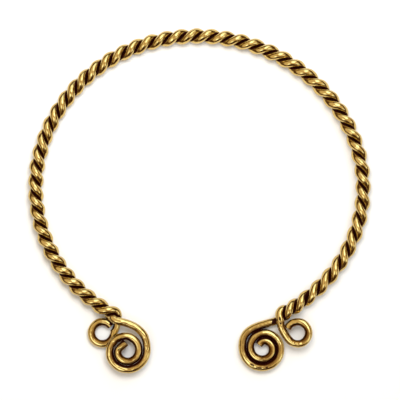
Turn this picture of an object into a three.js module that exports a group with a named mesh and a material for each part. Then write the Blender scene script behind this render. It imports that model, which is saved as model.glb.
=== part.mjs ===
// A gold-coloured torc: an open neck ring of two round wires twisted together, lying flat.
// At each end the twist opens, and one wire makes a small round loop and the other a flat spiral.
// Each wire is one length: the one that makes the loop at one end makes the spiral at the other.
// Units are millimetres. +Z is up from the surface it lies on, the open mouth faces -Y, +X is right.
import * as THREE from "three";

// Wire stock
const wireDiameter = 3.25;
const strandGap = 0.3; // clearance between the two wires where they lie together or cross

// Hoop: the line down the middle of the twist, an ellipse that is open at the front
const hoopHalfWidth = 68.75;
const hoopHalfDepth = 62.7;
const mouthHalfAngle = 31.4; // degrees from straight ahead to where the twist stops
// Bent by hand, the hoop is very slightly three-cornered.
const cornerRise = 0.37;
const cornerAngle = -15.3; // degrees anticlockwise from +X to the first corner

// Twist
const twistLength = 12.8; // along the hoop, for one whole turn
const twistDrift = -0.068; // how far the middle of the hoop runs ahead of an even twist
const twistDriftRight = -0.0235; // and how much more so at the right than at the left
const rightPinch = 3.1; // the twist starts this much short at the right end
const leftStretch = 0.7; // and ends this much long at the left end
const pinchLength = 7; // how far along the hoop those changes reach

// The two ends, right then left, each as seen with the loop on its right-hand side.
// Places are measured from the end of the twist: x away from the mouth's middle, y towards the hoop.
// Headings and angles are in degrees, anticlockwise from x.
const rightEnd = {
  crossing: { x: -1.6, y: -3, heading: -126 }, // where the loop's wire crosses the spiral's wire
  loop: { x: 5.95, y: -8.3, radius: 4.4, joinAngle: 218, sweep: 288, drop: 1.3 },
  spiral: {
    x: -8.65,
    y: -14.9,
    startAngle: 90,
    startRadius: 2.65,
    turnGap: 0.34,
    turns: 1.75,
    tailLength: 1.1,
    tailTurn: 38,
  },
};
const leftEnd = {
  crossing: { x: -1.6, y: -2.7, heading: -130 },
  loop: { x: 4.35, y: -8.05, radius: 4.65, joinAngle: 205, sweep: 275, drop: 0.3 },
  spiral: {
    x: -5.5,
    y: -15.4,
    startAngle: -8,
    startRadius: 3.48,
    turnGap: 0.42,
    turns: 1.48,
    tailLength: 3,
    tailTurn: 54,
  },
};
const coilTilt = 2.5; // degrees that each spiral slopes back to the middle height from its crossing
const tailBendRadius = 1.9; // of the bend between a spiral and its straight cut end
const leadFullness = 0.35; // how round the pair runs from the twist to the crossing
const loopFullness = 0.35; // how round the wire runs from the crossing into the loop
const spiralFullness = 0.46; // and into the spiral

// Facets
const wireSides = 8;
const stepsPerTurn = 9; // of the twist
const endStep = 1.8; // along the ends
const fewestSteps = 3; // in any bend

const wireRadius = wireDiameter / 2;
const strandOffset = wireRadius + strandGap / 2; // from the middle of the twist to the middle of a wire
const deg = THREE.MathUtils.degToRad;
const up = new THREE.Vector3(0, 0, 1);

// The middle of the twist, from the right end over the back to the left end.
class Hoop extends THREE.Curve {
  constructor() {
    super();
    this.arcLengthDivisions = 2000;
  }
  getPoint(u, target = new THREE.Vector3()) {
    const angle = deg(mouthHalfAngle - 90) + u * deg(360 - 2 * mouthHalfAngle);
    const x = Math.cos(angle);
    const y = Math.sin(angle);
    const outwards = new THREE.Vector3(x / hoopHalfWidth, y / hoopHalfDepth).normalize();
    const rise = cornerRise * Math.cos(3 * (angle - deg(cornerAngle)));
    return target.set(hoopHalfWidth * x, hoopHalfDepth * y, 0).addScaledVector(outwards, rise);
  }
}
const hoop = new Hoop();
const hoopLength = hoop.getLength();
// The strands lie side by side at both ends, so the twist is a whole number of turns and a half.
const turns = Math.round(hoopLength / twistLength - 0.5) + 0.5;

// How much of the twist is done at share u of the hoop.
function twistShare(u) {
  const lean = 1 - 2 * u;
  const settled = (share) => 1 - Math.exp((-share * hoopLength) / pinchLength) - share;
  const drift = u * (1 - u) * (twistDrift + twistDriftRight * lean);
  return u + drift + (rightPinch * settled(u) + leftStretch * settled(1 - u)) / hoopLength;
}

// One strand of the twist. It starts on the hoop's inner side, or half a turn later on the outer side.
class Strand extends THREE.Curve {
  constructor(startTurn) {
    super();
    this.startTurn = startTurn;
  }
  getPoint(u, target = new THREE.Vector3()) {
    const middle = hoop.getPointAt(u);
    const outwards = hoop.getTangentAt(u).cross(up);
    const phase = 2 * Math.PI * (0.5 + this.startTurn + turns * twistShare(u));
    return target
      .copy(middle)
      .addScaledVector(outwards, strandOffset * Math.cos(phase))
      .addScaledVector(up, strandOffset * Math.sin(phase));
  }
}

// A spiral from its inner end outwards, clockwise, in the layer below the crossing.
class Spiral extends THREE.Curve {
  constructor(centre, crossingY, { startAngle, startRadius, turnGap, turns }) {
    super();
    Object.assign(this, { centre, crossingY, startAngle, startRadius, turnGap, turns });
  }
  getPoint(u, target = new THREE.Vector3()) {
    const radius = this.startRadius + this.turns * u * (wireDiameter + this.turnGap);
    const angle = deg(this.startAngle) - 2 * Math.PI * this.turns * u;
    const y = this.centre.y + radius * Math.sin(angle);
    const height = (this.crossingY - y) * Math.tan(deg(coilTilt)) - strandOffset;
    return target.set(this.centre.x + radius * Math.cos(angle), y, height);
  }
}

// A round loop in the layer above the crossing, anticlockwise from where the wire joins it to its
// free end, which drops towards the layer below.
class RoundLoop extends THREE.Curve {
  constructor(centre, { radius, joinAngle, sweep, drop }) {
    super();
    Object.assign(this, { centre, radius, joinAngle, sweep, drop });
  }
  getPoint(u, target = new THREE.Vector3()) {
    const angle = deg(this.joinAngle + this.sweep * u);
    return target.set(
      this.centre.x + this.radius * Math.cos(angle),
      this.centre.y + this.radius * Math.sin(angle),
      strandOffset - this.drop * u * u,
    );
  }
}

// A bend that leaves `from` along `heading` and arrives at `to` along `arriving`.
function bend(from, heading, to, arriving, fullness) {
  const reach = fullness * from.distanceTo(to);
  return new THREE.CubicBezierCurve3(
    from,
    from.clone().addScaledVector(heading, reach),
    to.clone().addScaledVector(arriving, -reach),
    to,
  );
}

function headingOf(degrees) {
  return new THREE.Vector3(Math.cos(deg(degrees)), Math.sin(deg(degrees)), 0);
}

// A curve as points about endStep apart, without its first, which the piece before it has.
function pointsOn(curve) {
  return curve.getSpacedPoints(Math.max(fewestSteps, Math.round(curve.getLength() / endStep))).slice(1);
}

// An end is worked out as the right-hand one. The left-hand one is that turned over about Y.
function turnedOver(vector) {
  return new THREE.Vector3(-vector.x, vector.y, -vector.z);
}

// The place in that frame that lies x, y from the twist's end at share 0 or 1 of the hoop.
function placeAt(share, { x, y }) {
  const middle = hoop.getPointAt(share);
  return new THREE.Vector3((share ? -middle.x : middle.x) + x, middle.y + y, 0);
}

// From the twist's end to the crossing the pair turns a further quarter, which takes the loop's wire
// from the hoop's inner side to the top and the spiral's wire from the outer side to the bottom.
class Lead extends THREE.Curve {
  constructor(share, crossing, side) {
    super();
    const along = hoop.getTangentAt(share);
    const from = placeAt(share, { x: 0, y: 0 });
    const heading = share ? turnedOver(along) : along.negate();
    this.middle = bend(from, heading, placeAt(share, crossing), headingOf(crossing.heading), leadFullness);
    this.side = side;
  }
  getPoint(u, target = new THREE.Vector3()) {
    const phase = (Math.PI / 2) * u;
    const inwards = this.middle.getTangent(u).cross(up);
    return target
      .copy(this.middle.getPoint(u))
      .addScaledVector(inwards, this.side * strandOffset * Math.cos(phase))
      .addScaledVector(up, this.side * strandOffset * Math.sin(phase));
  }
}

// From the twist over the crossing and round the loop.
function loopEnd(share, { crossing, loop }) {
  const lead = new Lead(share, crossing, 1);
  const round = new RoundLoop(placeAt(share, loop), loop);
  return [
    lead,
    bend(lead.getPoint(1), lead.getTangent(1), round.getPoint(0), round.getTangent(0), loopFullness),
    round,
  ].flatMap(pointsOn);
}

// From the twist under the crossing, round the spiral and to its straight cut end.
function spiralEnd(share, { crossing, spiral }) {
  const lead = new Lead(share, crossing, -1);
  const under = lead.getPoint(1);
  const coil = new Spiral(placeAt(share, spiral), under.y, spiral);
  const inwards = coil.getTangent(0).negate();
  const turned = inwards.clone().applyAxisAngle(up, deg(spiral.tailTurn));
  const bendReach = tailBendRadius * Math.tan(Math.abs(deg(spiral.tailTurn)) / 2);
  const corner = coil.getPoint(0).addScaledVector(inwards, bendReach);
  const tailStart = corner.clone().addScaledVector(turned, bendReach);
  const coilPoints = coil.getSpacedPoints(Math.round(coil.getLength() / endStep));
  const arriving = coil.getTangent(1).negate();
  return [
    ...pointsOn(lead),
    ...pointsOn(bend(under, lead.getTangent(1), coil.getPoint(1), arriving, spiralFullness)),
    ...coilPoints.reverse().slice(1),
    ...pointsOn(new THREE.QuadraticBezierCurve3(coil.getPoint(0), corner, tailStart)),
    tailStart.clone().addScaledVector(turned, spiral.tailLength),
  ];
}

// A line through given points that is followed step by step, one step for each point.
class SteppedLine extends THREE.CatmullRomCurve3 {
  getUtoTmapping(u) {
    return u;
  }
}

// One whole wire: its end at the right, its strand of the twist, and its end at the left.
function wire(name, material, startTurn, makeRight, makeLeft) {
  const line = new SteppedLine([
    ...makeRight(0, rightEnd).reverse(),
    ...new Strand(startTurn).getPoints(Math.round(turns * stepsPerTurn)),
    ...makeLeft(1, leftEnd).map(turnedOver),
  ]);
  const section = new THREE.Shape().absarc(0, 0, wireRadius, 0, 2 * Math.PI);
  const geometry = new THREE.ExtrudeGeometry(section, {
    steps: line.points.length - 1,
    curveSegments: wireSides / 2,
    extrudePath: line,
  });
  const mesh = new THREE.Mesh(geometry, material);
  mesh.name = name;
  return mesh;
}

const gold = { color: 0xb88c3c, roughness: 0.25, metalness: 1 };
const torc = new THREE.Group();
torc.add(
  wire("first_wire", new THREE.MeshStandardMaterial(gold), 0, loopEnd, spiralEnd),
  wire("second_wire", new THREE.MeshStandardMaterial(gold), 0.5, spiralEnd, loopEnd),
);

// The torc rests on the lowest turns of its twist, with the middle of its outline over the origin.
const outline = new THREE.Box3().setFromObject(torc, true);
const middle = outline.getCenter(new THREE.Vector3());
torc.position.set(-middle.x, -middle.y, -outline.min.z);

export default torc;
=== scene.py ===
"""A gold-coloured torc: two round wires twisted together, with a loop and a spiral at each end.

Each wire is made straight, and is then bent along its route and dented. It keeps its straight form
as an attribute, so that the draw lines in its material run along it. Lengths are in metres. +Z is
up from the floor that the torc lies on, and the open mouth faces -Y.
"""

import bisect
import math

import bmesh
import bpy
from bpy.props import FloatProperty, FloatVectorProperty, IntProperty, PointerProperty
from mathutils import Matrix, Vector, noise
from mathutils.kdtree import KDTree


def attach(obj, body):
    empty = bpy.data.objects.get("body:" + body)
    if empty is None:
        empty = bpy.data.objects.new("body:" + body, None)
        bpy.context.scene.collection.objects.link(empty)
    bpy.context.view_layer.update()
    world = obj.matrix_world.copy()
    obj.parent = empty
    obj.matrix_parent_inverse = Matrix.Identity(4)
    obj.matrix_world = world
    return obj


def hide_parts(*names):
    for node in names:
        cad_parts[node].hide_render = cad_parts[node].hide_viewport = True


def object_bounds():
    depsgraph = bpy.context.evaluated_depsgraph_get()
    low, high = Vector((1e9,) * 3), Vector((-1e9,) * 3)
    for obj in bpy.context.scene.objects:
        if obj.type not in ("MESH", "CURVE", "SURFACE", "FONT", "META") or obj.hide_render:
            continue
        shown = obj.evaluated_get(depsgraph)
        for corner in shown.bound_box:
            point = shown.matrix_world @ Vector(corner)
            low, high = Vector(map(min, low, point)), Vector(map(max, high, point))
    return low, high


bl_info = {
    "name": "Twisted Wire Torc",
    "version": (1, 0, 0),
    "blender": (4, 5, 0),
    "location": "View3D > Sidebar > Torc",
    "description": "Makes the two wires of an open neck ring and the table that it is shown on",
    "category": "Object",
}

MM = 0.001
UP = Vector((0, 0, 1))

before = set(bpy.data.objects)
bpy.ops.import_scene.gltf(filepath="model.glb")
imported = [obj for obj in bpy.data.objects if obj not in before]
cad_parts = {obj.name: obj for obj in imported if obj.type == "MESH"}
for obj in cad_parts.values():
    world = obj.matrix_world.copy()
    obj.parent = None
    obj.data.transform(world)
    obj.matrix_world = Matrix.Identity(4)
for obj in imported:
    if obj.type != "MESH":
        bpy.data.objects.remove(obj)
cad_low, cad_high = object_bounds()


def length(name, description, millimetres):
    return FloatProperty(
        name=name, description=description, default=millimetres * MM, unit="LENGTH", precision=5
    )


def turn(name, description, degrees):
    return FloatProperty(
        name=name, description=description, default=math.radians(degrees), unit="ROTATION"
    )


def share(name, description, default):
    return FloatProperty(name=name, description=description, default=default)


def colour(name, description, default):
    return FloatVectorProperty(
        name=name, description=description, default=default, subtype="COLOR", min=0, max=1
    )


class TorcWire(bpy.types.PropertyGroup):
    radius: length("Radius", "Half the thickness of the wire", 1.67)
    gap: length("Gap", "Clearance between the two wires where they are twisted together", 0.03)
    sides: IntProperty(name="Sides", description="Faces around the wire", default=36, min=8)
    step: length("Step", "Distance from one ring of faces to the next", 0.36)
    chamfer: length("Chamfer", "Width of the worn edge round each cut end", 0.22)


class TorcHoop(bpy.types.PropertyGroup):
    half_width: length("Half width", "From the middle of the hoop to its side", 68.75)
    half_depth: length("Half depth", "From the middle of the hoop to its back", 62.7)
    mouth: turn("Half mouth", "From straight ahead to where the twist stops", 31.4)
    corner_rise: length("Corner rise", "How far the three soft corners stand out", 0.37)
    corner_angle: turn("Corner angle", "From +X to the first soft corner", -15.3)


class TorcTwist(bpy.types.PropertyGroup):
    turn_length: length("Turn length", "Along the hoop, for one whole turn", 12.8)
    drift: share("Drift", "How far the middle of the hoop runs ahead of an even twist", -0.068)
    drift_right: share("Drift right", "How much more so at the right than at the left", -0.0235)
    right_pinch: length("Right pinch", "How much shorter the twist starts at the right", 3.1)
    left_stretch: length("Left stretch", "How much longer the twist ends at the left", 0.7)
    pinch_length: length("Pinch length", "How far along the hoop those changes reach", 7)


class TorcRightEnd(bpy.types.PropertyGroup):
    """Places are measured from the twist's end: X away from the mouth's middle, Y to the hoop."""

    crossing_x: length("Crossing X", "Where the loop's wire crosses the spiral's wire", -1.6)
    crossing_y: length("Crossing Y", "Where the loop's wire crosses the spiral's wire", -3)
    crossing_heading: turn("Crossing heading", "Which way the wires run there", -126)
    loop_x: length("Loop X", "Middle of the loop", 5.75)
    loop_y: length("Loop Y", "Middle of the loop", -8.3)
    loop_radius: length("Loop radius", "To the middle of the wire", 4.62)
    loop_start: turn("Loop start", "Angle at which the wire joins the loop", 218)
    loop_sweep: turn("Loop sweep", "How far round the loop goes", 297)
    loop_drop: length("Loop drop", "How far its cut end sinks", 1.3)
    spiral_x: length("Spiral X", "Middle of the spiral", -8.53)
    spiral_y: length("Spiral Y", "Middle of the spiral", -14.9)
    spiral_start: turn("Spiral start", "Angle of its inner end", 94)
    spiral_radius: length("Spiral radius", "From the middle to its inner end", 2.93)
    spiral_pitch: length("Spiral pitch", "From one turn to the next", 3.38)
    spiral_turns: share("Spiral turns", "How many turns it makes", 1.76)
    tail_length: length("Tail length", "Straight part at the inner end", 1.1)
    tail_turn: turn("Tail turn", "How far that part turns in", 38)


class TorcLeftEnd(bpy.types.PropertyGroup):
    """The left end is the right one turned over, with sizes of its own."""

    crossing_x: length("Crossing X", "Where the loop's wire crosses the spiral's wire", -1.6)
    crossing_y: length("Crossing Y", "Where the loop's wire crosses the spiral's wire", -2.7)
    crossing_heading: turn("Crossing heading", "Which way the wires run there", -130)
    loop_x: length("Loop X", "Middle of the loop", 4.62)
    loop_y: length("Loop Y", "Middle of the loop", -8.05)
    loop_radius: length("Loop radius", "To the middle of the wire", 4.65)
    loop_start: turn("Loop start", "Angle at which the wire joins the loop", 192)
    loop_sweep: turn("Loop sweep", "How far round the loop goes", 311)
    loop_drop: length("Loop drop", "How far its cut end sinks", 0.3)
    spiral_x: length("Spiral X", "Middle of the spiral", -5.5)
    spiral_y: length("Spiral Y", "Middle of the spiral", -15.4)
    spiral_start: turn("Spiral start", "Angle of its inner end", -8)
    spiral_radius: length("Spiral radius", "From the middle to its inner end", 3.64)
    spiral_pitch: length("Spiral pitch", "From one turn to the next", 3.42)
    spiral_turns: share("Spiral turns", "How many turns it makes", 1.48)
    tail_length: length("Tail length", "Straight part at the inner end", 3.9)
    tail_turn: turn("Tail turn", "How far that part turns in", 46)


class TorcBends(bpy.types.PropertyGroup):
    coil_tilt: turn("Coil tilt", "Slope of each spiral back to the middle height", 2.5)
    tail_radius: length("Tail radius", "Of the bend between a spiral and its straight end", 1.9)
    lead_fullness: share("Lead fullness", "How round the pair runs to the crossing", 0.35)
    loop_fullness: share("Loop fullness", "How round the wire runs into the loop", 0.35)
    spiral_fullness: share("Spiral fullness", "How round the wire runs into the spiral", 0.46)


class TorcFinish(bpy.types.PropertyGroup):
    gold: colour("Gold", "The metal where it is rubbed clean", (0.6, 0.42, 0.14))
    # Dark brown on the inner sides of tight bends at the ends: partly an unpolished film, partly
    # painted shade and a painted reflection of the shaded floor inside the loops and spirals.
    dull_gold: colour(
        "Dull gold", "The metal inside tight bends, out of a polisher's reach", (0.15, 0.055, 0.004)
    )
    # Black patina in the grooves; its reach carries the black over the flanks beside them as
    # painted shade between the wires.
    patina_and_shade: colour("Patina", "Blackened metal in the grooves", (0.018, 0.0015, 0.0003))
    patina_and_shade_reach: share(
        "Patina reach", "Clearance to the next wire up to which it is black, in mm", 1.06
    )
    dent_depth: length("Dent depth", "How deep the shallow hammer marks are", 0.1)
    line_depth: length("Line depth", "Of the bump that the draw lines make", 0.09)
    roughness: share("Roughness", "Of the polished gold", 0.1)


class TorcStudio(bpy.types.PropertyGroup):
    table_width: length("Table width", "Side of the pale table", 8000)
    table_shade: colour("Table shade", "Its paint", (0.8, 0.785, 0.755))
    fill_power: FloatProperty(
        name="Fill power",
        description="Of the lamp that the metal doesn't mirror",
        default=0.92,
        unit="POWER",
    )
    fill_width: length("Fill width", "Across that lamp, which hangs over the back of the torc", 200)
    fill_height: length("Fill height", "Above the table", 330)
    fill_x: length("Fill X", "Place of that lamp", -10)
    fill_y: length("Fill Y", "Place of that lamp", 130)
    lamp_colour: colour("Lamp colour", "Light of the soft boxes", (0.74, 0.86, 1))
    room_colour: colour("Room colour", "Light of the ceiling", (1, 0.85, 0.64))
    card_colour: colour("Card colour", "Light of the dim walls and the dark cards", (1, 0.5, 0.18))
    brightness: share("Brightness", "Of all the light together", 1.0)
    camera_height: length("Camera height", "Above the torc", 700)
    view_width: length("View width", "Across the picture at the torc's height", 168)
    view_x: length("View X", "Middle of the picture", 0.21)
    view_y: length("View Y", "Middle of the picture", 0.29)


class TorcSettings(bpy.types.PropertyGroup):
    wire: PointerProperty(type=TorcWire, name="Wire")
    hoop: PointerProperty(type=TorcHoop, name="Hoop")
    twist: PointerProperty(type=TorcTwist, name="Twist")
    right: PointerProperty(type=TorcRightEnd, name="Right end")
    left: PointerProperty(type=TorcLeftEnd, name="Left end")
    bends: PointerProperty(type=TorcBends, name="Bends")
    finish: PointerProperty(type=TorcFinish, name="Finish")
    studio: PointerProperty(type=TorcStudio, name="Studio")


# Strength of the light from every side that nothing in the next list covers
WALL_STRENGTH = 0.12

# What is over the torc: its colour, how far it is from straight up, its bearing anticlockwise from
# +X, the angles from its middle to its full and its faded edge, all in degrees, and its strength.
# Each is painted over those before it.
CARDS = (
    ("room_colour", 0, 0, 54, 68, 0.97),
    ("card_colour", 54, -84, 15, 33, 0.08),
    ("lamp_colour", 54, 68, 10, 26, 2.6),
    ("lamp_colour", 58, -26, 4, 14, 2.6),
    ("lamp_colour", 28, 232, 6, 17, 3.3),
    ("lamp_colour", 27, 52, 7.5, 20, 4.5),
    ("card_colour", 0, 0, 4, 9, 0.3),
)

# Nicks and pits at the ends, and one patch of painted shade, in millimetres as seen from above: X,
# Y, bearing in degrees, half length, half width and depth, and how black it is inside.
NICKS = (
    (33.6, -49.5, 95, 1.0, 0.5, 0.35, 1.0),
    (33.8, -51.3, 110, 0.6, 0.45, 0.3, 1.0),
    (31.1, -50.9, 60, 1.3, 0.8, 0.15, 1.0),
    (30.2, -50.1, 15, 0.9, 0.3, 0.1, 1.0),
    (39.3, -59.3, 120, 0.6, 0.35, 0.22, 0.2),
    (41.0, -59.9, 60, 0.6, 0.4, 0.2, 0.0),
    (42.8, -59.4, 40, 0.7, 0.4, 0.22, 0.2),
    (22.1, -69.0, 150, 1.4, 0.4, 0.22, 0.7),
    (25.3, -70.3, 172, 1.4, 0.4, 0.18, 0.75),
    (28.2, -70.1, 15, 0.9, 0.4, 0.15, 0.75),
    (44.7, -40.0, 60, 1.6, 0.7, 0.1, 1.0),
    # This broad, shallow one darkens the left loop's cut end where it runs under the other wire:
    # painted shade.
    (-37.0, -51.6, 135, 0.7, 1.3, 0.1, 0.75),
    (-36.4, -59.3, 15, 0.9, 0.3, 0.22, 0.0),
    (-23.1, -57.4, 120, 0.5, 0.3, 0.2, 0.3),
    (-22.5, -60.2, 160, 0.6, 0.3, 0.22, 0.0),
    (-21.2, -62.3, 20, 0.7, 0.3, 0.22, 0.3),
    (-33.9, -62.7, 45, 1.0, 0.5, 0.35, 0.0),
    (-33.2, -63.6, 130, 0.7, 0.3, 0.2, 0.0),
)
NICKED_FRONT = -36 * MM  # there are none behind this Y
NICK_REACH = 4  # half lengths from the middle of a nick to where it has faded out
NICK_DARKENING = 1.2  # over 1, so that a black nick is fully black before its middle

# How the polish and the dents differ along the wires, and with them the black patina, the brown
# film and the painted shade that both carry. The attribute that holds the clearance is in
# millimetres, and so is what is added to it or taken off it here.
LOOP_STRETCH = 31 * MM  # from a loop's cut end along the wire, the stretch drawn with less of the black patina and painted shade
LOOP_LESS_BLACK = 0.7  # added to the clearance there
COIL_DARKENED = 0.2  # taken off the clearance between the turns of a spiral, which widens the black there as painted shade
FILM_AND_SHADE_FRONT = -46 * MM  # there is no brown film or painted shade behind this Y
FILM_AND_SHADE_FADE = 5 * MM  # and it is full this far in front of it
FILM_AND_SHADE_FREE = 0.2  # bend outwards, per millimetre, that keeps the twist free of the film and its painted shade
DENT_FADE = 0.6 * MM  # clearance below which the dents grow shallow
WIDEST = 2.5 * MM  # clearance beyond which a neighbour makes no difference
LEAST = 0.01 * MM  # clearance that the bent wires keep

# How finely each part of a route is worked out
HOOP_POINTS = 4000
STRAND_STEP = 0.4 * MM
BEND_POINTS = 60
LOOP_POINTS = 120
COIL_POINTS = 300
TAIL_POINTS = 10

# Lines and bends


class Line:
    """A line through points that lie close together, followed by distance."""

    def __init__(self, points):
        self.points = points
        self.reach = [0.0]
        for before, after in zip(points, points[1:]):
            self.reach.append(self.reach[-1] + (after - before).length)
        self.length = self.reach[-1]

    def at(self, distance):
        last = len(self.points) - 2
        i = min(max(bisect.bisect_right(self.reach, distance) - 1, 0), last)
        part = (distance - self.reach[i]) / (self.reach[i + 1] - self.reach[i])
        return self.points[i] + (self.points[i + 1] - self.points[i]) * part

    def heading(self, distance, reach=0.1 * MM):
        return (self.at(distance + reach) - self.at(distance - reach)).normalized()

    def spaced(self, step):
        """Points on the line about that step apart."""
        count = round(self.length / step)
        return [self.at(self.length * i / count) for i in range(count + 1)]


def heading_on(curve, done, reach=0.0001):
    return (curve(done + reach) - curve(done - reach)).normalized()


def bend(start, heading, end, arriving, fullness):
    """A bend that leaves start along heading and arrives at end along arriving."""
    reach = fullness * (end - start).length
    knots = (start, start + heading * reach, end - arriving * reach, end)

    def curve(done):
        left = 1 - done
        weights = (left**3, 3 * left**2 * done, 3 * left * done**2, done**3)
        return sum((knot * weight for knot, weight in zip(knots, weights)), Vector((0, 0, 0)))

    return curve


def arc_point(centre, radius, angle, height):
    x = centre.x + radius * math.cos(angle)
    y = centre.y + radius * math.sin(angle)
    return Vector((x, y, height))


def followed(curve, points=BEND_POINTS):
    """Points on a curve, without its first, which the piece before it has."""
    return [curve((i + 1) / points) for i in range(points)]


def turned_over(point):
    return Vector((-point.x, point.y, -point.z))


class Torc:
    """Works out the routes of both wires from the sizes."""

    def __init__(self, sizes):
        self.sizes = sizes
        self.offset = sizes.wire.radius + sizes.wire.gap / 2
        self.hoop = Line([self.hoop_point(i / HOOP_POINTS) for i in range(HOOP_POINTS + 1)])
        # The strands lie side by side at both ends, so it is a whole number of turns and a half.
        self.turns = round(self.hoop.length / sizes.twist.turn_length - 0.5) + 0.5

    def hoop_point(self, done):
        """The middle of the twist: an ellipse with three soft corners, from the right end round."""
        hoop = self.sizes.hoop
        angle = hoop.mouth - math.pi / 2 + done * (2 * math.pi - 2 * hoop.mouth)
        x, y = math.cos(angle), math.sin(angle)
        outwards = Vector((x / hoop.half_width, y / hoop.half_depth, 0)).normalized()
        rise = hoop.corner_rise * math.cos(3 * (angle - hoop.corner_angle))
        return Vector((hoop.half_width * x, hoop.half_depth * y, 0)) + outwards * rise

    def twist_done(self, done):
        """How much of the twist is done at that share of the hoop."""
        twist = self.sizes.twist

        def settled(part):
            return 1 - math.exp(-part * self.hoop.length / twist.pinch_length) - part

        drift = done * (1 - done) * (twist.drift + twist.drift_right * (1 - 2 * done))
        ends = twist.right_pinch * settled(done) + twist.left_stretch * settled(1 - done)
        return done + drift + ends / self.hoop.length

    def strand(self, start_turn):
        """One wire's part of the twist, from the hoop's inner side or half a turn later."""
        points = []
        steps = round(self.hoop.length / STRAND_STEP)
        for i in range(steps + 1):
            done = i / steps
            distance = done * self.hoop.length
            outwards = self.hoop.heading(distance).cross(UP)
            phase = 2 * math.pi * (0.5 + start_turn + self.turns * self.twist_done(done))
            around = outwards * math.cos(phase) + UP * math.sin(phase)
            points.append(self.hoop.at(distance) + around * self.offset)
        return points

    def place(self, at_left, x, y):
        """A place measured from the twist's end, in the frame of the right-hand end."""
        middle = self.hoop_point(1 if at_left else 0)
        return Vector(((-middle.x if at_left else middle.x) + x, middle.y + y, 0))

    def lead(self, at_left, side):
        """From the twist's end to the crossing, while the pair turns a further quarter."""
        end = self.sizes.left if at_left else self.sizes.right
        along = heading_on(self.hoop_point, 1 if at_left else 0)
        middle = bend(
            self.place(at_left, 0, 0),
            turned_over(along) if at_left else -along,
            self.place(at_left, end.crossing_x, end.crossing_y),
            Vector((math.cos(end.crossing_heading), math.sin(end.crossing_heading), 0)),
            self.sizes.bends.lead_fullness,
        )

        def curve(done):
            phase = math.pi / 2 * done
            inwards = heading_on(middle, done).cross(UP)
            around = inwards * math.cos(phase) + UP * math.sin(phase)
            return middle(done) + around * side * self.offset

        return curve

    def loop_end(self, at_left):
        """From the twist over the crossing and round the loop."""
        end = self.sizes.left if at_left else self.sizes.right
        lead = self.lead(at_left, 1)
        centre = self.place(at_left, end.loop_x, end.loop_y)

        def loop(done):
            angle = end.loop_start + end.loop_sweep * done
            return arc_point(centre, end.loop_radius, angle, self.offset - end.loop_drop * done**2)

        fullness = self.sizes.bends.loop_fullness
        joining = bend(lead(1), heading_on(lead, 1), loop(0), heading_on(loop, 0), fullness)
        return followed(lead) + followed(joining) + followed(loop, LOOP_POINTS)

    def spiral_end(self, at_left):
        """From the twist under the crossing, round the spiral and to its straight cut end."""
        end = self.sizes.left if at_left else self.sizes.right
        bends = self.sizes.bends
        lead = self.lead(at_left, -1)
        centre = self.place(at_left, end.spiral_x, end.spiral_y)
        under = lead(1)

        def coil(done):
            turns_out = end.spiral_turns * (1 - done)
            angle = end.spiral_start - 2 * math.pi * turns_out
            point = arc_point(centre, end.spiral_radius + turns_out * end.spiral_pitch, angle, 0)
            point.z = (under.y - point.y) * math.tan(bends.coil_tilt) - self.offset
            return point

        fullness = bends.spiral_fullness
        joining = bend(under, heading_on(lead, 1), coil(0), heading_on(coil, 0), fullness)
        inwards = heading_on(coil, 1)
        turned = Matrix.Rotation(end.tail_turn, 3, "Z") @ inwards
        reach = bends.tail_radius * math.tan(end.tail_turn / 2)
        corner = coil(1) + inwards * reach

        def tail_bend(done):
            return coil(1).lerp(corner, done).lerp(corner.lerp(corner + turned * reach, done), done)

        tail = [
            corner + turned * (reach + end.tail_length * i / TAIL_POINTS)
            for i in range(1, TAIL_POINTS + 1)
        ]
        coiled = followed(coil, COIL_POINTS)
        return followed(lead) + followed(joining) + coiled + followed(tail_bend) + tail

    def route(self, start_turn, right_end, left_end):
        """One whole wire: its end at the right, its part of the twist and its end at the left."""
        points = right_end(False)[::-1] + self.strand(start_turn)
        points += [turned_over(point) for point in left_end(True)]
        return eased(Line(points))

    def routes(self):
        """Both routes, with the middle of their outline where the frame's box has its own."""
        first = self.route(0, self.loop_end, self.spiral_end)
        second = self.route(0.5, self.spiral_end, self.loop_end)
        points = first.points + second.points
        reaches = [[point[axis] for point in points] for axis in (0, 1)]
        middle = [(min(reach) + max(reach)) / 2 for reach in reaches]
        shift = (cad_low + cad_high) / 2 - Vector((*middle, 0))
        return [Line([point + shift for point in line.points]) for line in (first, second)]


def eased(line, step=0.2 * MM, passes=6):
    """The line with the small kinks between its pieces smoothed out."""
    points = line.spaced(step)
    for _ in range(passes):
        middles = [(a + 2 * b + c) / 4 for a, b, c in zip(points, points[1:], points[2:])]
        points = [points[0]] + middles + [points[-1]]
    return Line(points)


# Wires


def straight_wire(radius, wire_length, wire):
    """A straight closed wire along +Z from the origin, with worn edges round its cut ends."""
    mesh = bmesh.new()
    bmesh.ops.create_cone(
        mesh,
        cap_ends=True,
        segments=wire.sides,
        radius1=radius,
        radius2=radius,
        depth=wire_length,
        matrix=Matrix.Translation((0, 0, wire_length / 2)),
    )
    rims = [edge for edge in mesh.edges if edge.calc_length() < wire_length / 2]
    bmesh.ops.bevel(
        mesh, geom=rims, offset=wire.chamfer, segments=3, profile=0.5, affect="EDGES", material=-1
    )
    long_edges = [edge for edge in mesh.edges if edge.calc_length() > wire_length / 2]
    cuts = round(wire_length / wire.step)
    bmesh.ops.subdivide_edges(mesh, edges=long_edges, cuts=cuts, use_grid_fill=True)
    return mesh


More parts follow.
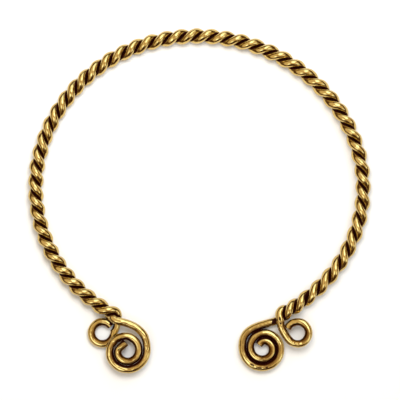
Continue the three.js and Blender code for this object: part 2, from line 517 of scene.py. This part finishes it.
class Bender:
    """Carries a point of a straight wire to its place on the bent one."""

    def __init__(self, line, step=0.2 * MM):
        count = round(line.length / step)
        self.step = line.length / count
        self.places = [line.at(i * self.step) for i in range(count + 1)]
        self.headings = [line.heading(i * self.step, self.step) for i in range(count + 1)]
        beside = zip(self.headings[:1] + self.headings, self.headings[1:] + self.headings[-1:])
        self.turning = [(after - before) / (2 * self.step) for before, after in beside]
        across = self.headings[0].cross(UP).normalized()
        self.across = [across]
        for before, after in zip(self.headings, self.headings[1:]):
            across = before.rotation_difference(after) @ across
            across = (across - after * across.dot(after)).normalized()
            self.across.append(across)

    def bend_at(self, distance):
        """The line's curvature there, towards the inside of the bend."""
        return self.turning[min(round(distance / self.step), len(self.turning) - 1)]

    def __call__(self, point):
        i = min(max(int(point.z / self.step), 0), len(self.places) - 2)
        part = point.z / self.step - i
        place = self.places[i] + (self.places[i + 1] - self.places[i]) * part
        heading = self.headings[i].lerp(self.headings[i + 1], part).normalized()
        across = self.across[i].lerp(self.across[i + 1], part)
        across = (across - heading * across.dot(heading)).normalized()
        return place + across * point.x + heading.cross(across) * point.y


class Neighbours:
    """Finds how close the other wire, or another stretch of the same wire, comes to a point."""

    def __init__(self, lines, step=0.4 * MM, own_stretch=6 * MM):
        self.own_stretch = own_stretch
        self.spots = []
        for number, line in enumerate(lines):
            count = round(line.length / step)
            for i in range(count + 1):
                distance = line.length * i / count
                self.spots.append((line.at(distance), number, distance))
        self.tree = KDTree(len(self.spots))
        for i, spot in enumerate(self.spots):
            self.tree.insert(spot[0], i)
        self.tree.balance()

    def nearest(self, point, number, distance, reach):
        """The nearest other stretch as (place, distance, whether the wire is its own), or None."""
        best = None
        for place, i, away in self.tree.find_range(point, reach):
            _, spot_number, spot_distance = self.spots[i]
            same_wire = spot_number == number
            near = same_wire and abs(spot_distance - distance) < self.own_stretch
            if not near and (best is None or away < best[1]):
                best = (place, away, same_wire)
        return best


def dents(angle, distance, number, depth):
    """How far the surface stands off a true round there, which is mostly inwards."""
    around = Vector((math.cos(angle), math.sin(angle), 0))

    def marks(fineness, long, apart):
        along = distance / long + apart * number
        return noise.noise(around * fineness + UP * along)

    small_depth, sunk = 0.45, 0.5
    return depth * (marks(0.9, 3.2 * MM, 50) + small_depth * marks(2.2, 1.1 * MM, 90) - sunk)


def nicked(place):
    """How deep the nicks are at a place, and how black they and the patch of painted shade make it.
    """
    depth = black = 0
    for x, y, bearing, half_length, half_width, deepest, blackest in NICKS:
        reach = place / MM - Vector((x, y, 0))
        if abs(reach.x) + abs(reach.y) < NICK_REACH * half_length:
            turned = Matrix.Rotation(math.radians(-bearing), 3, "Z") @ reach
            part = math.exp(-((turned.x / half_length) ** 2) - (turned.y / half_width) ** 2)
            depth += deepest * part * MM
            black = max(black, blackest * part)
    return depth, min(black * NICK_DARKENING, 1)


def bent_wire(name, number, lines, neighbours, sizes):
    """One wire, bent along its line and dented, with the attributes that its material reads."""
    line = lines[number]
    radius = sizes.wire.radius
    mesh = straight_wire(radius, line.length, sizes.wire)
    straight = mesh.verts.layers.float_vector.new("straight")
    clearance = mesh.verts.layers.float.new("clearance")
    inside = mesh.verts.layers.float.new("inside")
    bender = Bender(line)
    for vertex in mesh.verts:
        vertex[straight] = vertex.co / MM
        distance = vertex.co.z
        angle = math.atan2(vertex.co.y, vertex.co.x)
        centre = bender(Vector((0, 0, distance)))
        place = bender(vertex.co)
        out = (place - centre) / radius
        # How far the surface faces the inside of a bend, at the ends only: the material paints the
        # brown film and painted shade there.
        at_end = min(max((FILM_AND_SHADE_FRONT - place.y) / FILM_AND_SHADE_FADE, 0), 1)
        inwards = bender.bend_at(distance).xy.dot(out.xy) * MM
        vertex[inside] = (inwards + FILM_AND_SHADE_FREE) * at_end - FILM_AND_SHADE_FREE
        # The clearance to the nearest other wire sets where the material paints the black patina
        # and painted shade.
        found = neighbours.nearest(place, number, distance, radius + WIDEST)
        clear = max(found[1] - radius, 0) if found else WIDEST
        vertex[clearance] = clear / MM
        # The first wire starts with its loop and the second one ends with it.
        from_loop = distance if number == 0 else line.length - distance
        if from_loop < LOOP_STRETCH:
            vertex[clearance] += LOOP_LESS_BLACK
        elif found and found[2]:
            vertex[clearance] -= COIL_DARKENED
        dent = dents(angle, distance, number, sizes.finish.dent_depth)
        place += out * dent * min(clear / DENT_FADE, 1)
        if out.z > 0 and place.y < NICKED_FRONT:
            depth, black = nicked(place)
            place -= out * out.z * depth
            vertex[clearance] *= 1 - black
        if found:
            middle = found[0]
            away = (place - middle).length
            if away < radius + LEAST:
                place += (place - middle).normalized() * (radius + LEAST - away)
        vertex.co = place
    data = bpy.data.meshes.new(name)
    mesh.to_mesh(data)
    mesh.free()
    data.shade_smooth()
    wire = bpy.data.objects.new(name, data)
    bpy.context.scene.collection.objects.link(wire)
    return wire


# Shader maths


class Socket:
    """One output of a node. Arithmetic on it adds the Math nodes."""

    def __init__(self, shader, socket):
        self.shader = shader
        self.socket = socket

    def maths(self, operation, *values):
        return self.shader.node("ShaderNodeMath", {"operation": operation}, dict(enumerate(values)))

    def __add__(self, other):
        return self.maths("ADD", self, other)

    def __radd__(self, other):
        return self.maths("ADD", other, self)

    def __sub__(self, other):
        return self.maths("SUBTRACT", self, other)

    def __rsub__(self, other):
        return self.maths("SUBTRACT", other, self)

    def __mul__(self, other):
        return self.maths("MULTIPLY", self, other)

    def __rmul__(self, other):
        return self.maths("MULTIPLY", other, self)

    def between(self, low, high):
        """0 at low and below, 1 at high and above, and smooth between them."""
        values = {"Value": self, "From Min": low, "From Max": high}
        return self.shader.node("ShaderNodeMapRange", {"interpolation_type": "SMOOTHSTEP"}, values)

    def swing(self, size):
        """A noise, which runs from 0 to 1, made to swing to both sides of 0."""
        return (self - 0.5) * size


class Shader:
    """The nodes of one material or of the world."""

    def __init__(self, owner):
        owner.use_nodes = True
        self.tree = owner.node_tree
        self.tree.nodes.clear()

    def node(self, kind, settings=None, inputs=None, output=0):
        """Adds a node, sets it up, fills or links its inputs and gives one of its outputs."""
        made = self.tree.nodes.new(kind)
        for name, value in (settings or {}).items():
            setattr(made, name, value)
        for name, value in (inputs or {}).items():
            if isinstance(value, Socket):
                self.tree.links.new(value.socket, made.inputs[name])
            else:
                made.inputs[name].default_value = value
        return Socket(self, made.outputs[output]) if made.outputs else None

    def mixed(self, factor, first, second):
        """Two colours mixed by a factor."""
        inputs = {0: factor, 6: first, 7: second}
        return self.node("ShaderNodeMix", {"data_type": "RGBA"}, inputs, 2)

    def attribute(self, name, output):
        return self.node("ShaderNodeAttribute", {"attribute_name": name}, None, output)

    def stretched(self, vector, scale):
        inputs = {0: vector, 1: scale}
        return self.node("ShaderNodeVectorMath", {"operation": "MULTIPLY"}, inputs)

    def noise(self, vector, scale, detail=2):
        inputs = {"Vector": vector, "Scale": scale, "Detail": detail}
        return self.node("ShaderNodeTexNoise", None, inputs)

    def bump(self, height, strength, distance):
        inputs = {"Height": height, "Strength": strength, "Distance": distance}
        return self.node("ShaderNodeBump", None, inputs)


def opaque(values):
    return (*values, 1)


def worn_and_shaded_gold(finish):
    """Polished gold with fine draw lines along the wire, blackened where the wires lie together:
    black patina in the grooves, painted shade on the flanks beside them, and a brown film with
    painted shade inside tight bends.
    """
    material = bpy.data.materials.new("antiqued_gold")
    shader = Shader(material)
    straight = shader.attribute("straight", "Vector")
    clearance = shader.attribute("clearance", "Fac")
    inside = shader.attribute("inside", "Fac")
    mottle = shader.noise(straight, 0.5)
    speckle = shader.noise(straight, 3, 3)
    drawn_out = shader.stretched(straight, (1, 1, 0.15))
    draw_lines = shader.noise(drawn_out, 0.9, 1.5)
    # Black patina in the grooves, carried over the flanks beside them as painted shade between the
    # wires.
    uneven = clearance + mottle.swing(0.5) + speckle.swing(0.25)
    half_edge = 0.1
    black = 1 - uneven.between(finish.patina_and_shade_reach - half_edge, finish.patina_and_shade_reach + half_edge)
    # The brown film inside tight bends: partly unpolished residue, partly painted shade with a
    # painted reflection of the shaded floor.
    no_film_or_shade, full_film_and_shade = -0.05, 0.11
    film_and_shade = (inside + draw_lines.swing(0.2) + speckle.swing(0.1)).between(no_film_or_shade, full_film_and_shade)
    gold = shader.mixed(film_and_shade, opaque(finish.gold), opaque(finish.dull_gold))
    grit, line_roughness, black_roughness = 0.06, 0.06, 0.4
    surface = shader.node(
        "ShaderNodeBsdfPrincipled",
        None,
        {
            "Base Color": shader.mixed(black, gold, opaque(finish.patina_and_shade)),
            "Metallic": 1 - black,
            "Specular IOR Level": 0.05,
            "Roughness": finish.roughness + draw_lines * line_roughness + black * black_roughness,
            "Normal": shader.bump(draw_lines + speckle * grit, 1, finish.line_depth),
        },
    )
    shader.node("ShaderNodeOutputMaterial", None, {"Surface": surface})
    return material


def table_paint(studio):
    material = bpy.data.materials.new("table_paint")
    shader = Shader(material)
    place = shader.node("ShaderNodeTexCoord", output="Object")
    grain = shader.noise(place, 400, 3)
    surface = shader.node(
        "ShaderNodeBsdfPrincipled",
        None,
        {
            "Base Color": opaque(studio.table_shade),
            "Roughness": 0.85,
            "Normal": shader.bump(grain, 0.05, 0.1 * MM),
        },
    )
    shader.node("ShaderNodeOutputMaterial", None, {"Surface": surface})
    return material


def towards(tilt, bearing):
    """The direction that many degrees from straight up, at a bearing anticlockwise from +X."""
    tilt, bearing = math.radians(tilt), math.radians(bearing)
    level = math.sin(tilt)
    return Vector((level * math.cos(bearing), level * math.sin(bearing), math.cos(tilt)))


def room_light(studio):
    """The dim walls, with the ceiling, the soft boxes and the dark cards painted over them."""
    world = bpy.data.worlds.new("studio")
    bpy.context.scene.world = world
    shader = Shader(world)
    direction = shader.node("ShaderNodeTexCoord", output="Generated")

    def light(colour, strength):
        return opaque(value * strength * studio.brightness for value in colour)

    seen = light(studio.card_colour, WALL_STRENGTH)
    for colour, tilt, bearing, full, faded, strength in CARDS:
        inputs = {0: direction, 1: towards(tilt, bearing)}
        facing = shader.node("ShaderNodeVectorMath", {"operation": "DOT_PRODUCT"}, inputs, "Value")
        cover = facing.between(math.cos(math.radians(faded)), math.cos(math.radians(full)))
        seen = shader.mixed(cover, seen, light(getattr(studio, colour), strength))
    background = shader.node("ShaderNodeBackground", None, {"Color": seen})
    shader.node("ShaderNodeOutputWorld", None, {"Surface": background})


# Operators


class TORC_OT_wires(bpy.types.Operator):
    """Make the two twisted wires, bent into the hoop with a loop and a spiral at each end"""

    bl_idname = "torc.wires"
    bl_label = "Twisted Wires"

    def execute(self, context):
        sizes = context.scene.torc
        lines = Torc(sizes).routes()
        neighbours = Neighbours(lines)
        gold = worn_and_shaded_gold(sizes.finish)
        for number, node in enumerate(("first_wire", "second_wire")):
            wire = bent_wire(node + "_finished", number, lines, neighbours, sizes)
            wire.data.materials.append(gold)
            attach(wire, "root")
            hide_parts(node)
        return {"FINISHED"}


class TORC_OT_studio(bpy.types.Operator):
    """Make the pale table, the soft light of the room and the camera that looks straight down"""

    bl_idname = "torc.studio"
    bl_label = "Studio"

    def execute(self, context):
        studio = context.scene.torc.studio
        mesh = bmesh.new()
        bmesh.ops.create_grid(mesh, x_segments=4, y_segments=4, size=studio.table_width / 2)
        data = bpy.data.meshes.new("table")
        mesh.to_mesh(data)
        mesh.free()
        table = bpy.data.objects.new("table", data)
        context.scene.collection.objects.link(table)
        table.data.materials.append(table_paint(studio))
        room_light(studio)
        fill = bpy.data.lights.new("fill", "AREA")
        fill.shape = "DISK"
        fill.size = studio.fill_width
        fill.energy = studio.fill_power
        overhead = bpy.data.objects.new("fill", fill)
        overhead.location = (studio.fill_x, studio.fill_y, studio.fill_height)
        overhead.visible_glossy = False
        context.scene.collection.objects.link(overhead)
        context.scene.view_settings.view_transform = "Standard"
        camera = bpy.data.cameras.new("camera")
        camera.lens = camera.sensor_width * studio.camera_height / studio.view_width
        camera.clip_end = 20
        view = bpy.data.objects.new("camera", camera)
        torc_height = (cad_low.z + cad_high.z) / 2
        view.location = (studio.view_x, studio.view_y, torc_height + studio.camera_height)
        context.scene.collection.objects.link(view)
        context.scene.camera = view
        return {"FINISHED"}


class TORC_PT_sidebar(bpy.types.Panel):
    """The torc's operators and sizes"""

    bl_idname = "TORC_PT_sidebar"
    bl_label = "Torc"
    bl_space_type = "VIEW_3D"
    bl_region_type = "UI"
    bl_category = "Torc"

    def draw(self, context):
        sizes = context.scene.torc
        for operator in OPERATORS:
            self.layout.operator(operator.bl_idname)
        for group in sizes.bl_rna.properties:
            if group.type == "POINTER" and group.identifier != "rna_type":
                box = self.layout.box()
                box.label(text=group.name)
                values = getattr(sizes, group.identifier)
                for value in values.bl_rna.properties:
                    if value.identifier not in ("name", "rna_type"):
                        box.prop(values, value.identifier)


GROUPS = (
    TorcWire,
    TorcHoop,
    TorcTwist,
    TorcRightEnd,
    TorcLeftEnd,
    TorcBends,
    TorcFinish,
    TorcStudio,
    TorcSettings,
)
OPERATORS = (TORC_OT_wires, TORC_OT_studio)


def register():
    for group in GROUPS + OPERATORS + (TORC_PT_sidebar,):
        bpy.utils.register_class(group)
    bpy.types.Scene.torc = PointerProperty(type=TorcSettings)


def unregister():
    del bpy.types.Scene.torc
    for group in reversed(GROUPS + OPERATORS + (TORC_PT_sidebar,)):
        bpy.utils.unregister_class(group)


def main():
    register()
    bpy.ops.torc.wires()
    bpy.ops.torc.studio()


if __name__ == "__main__":
    main()
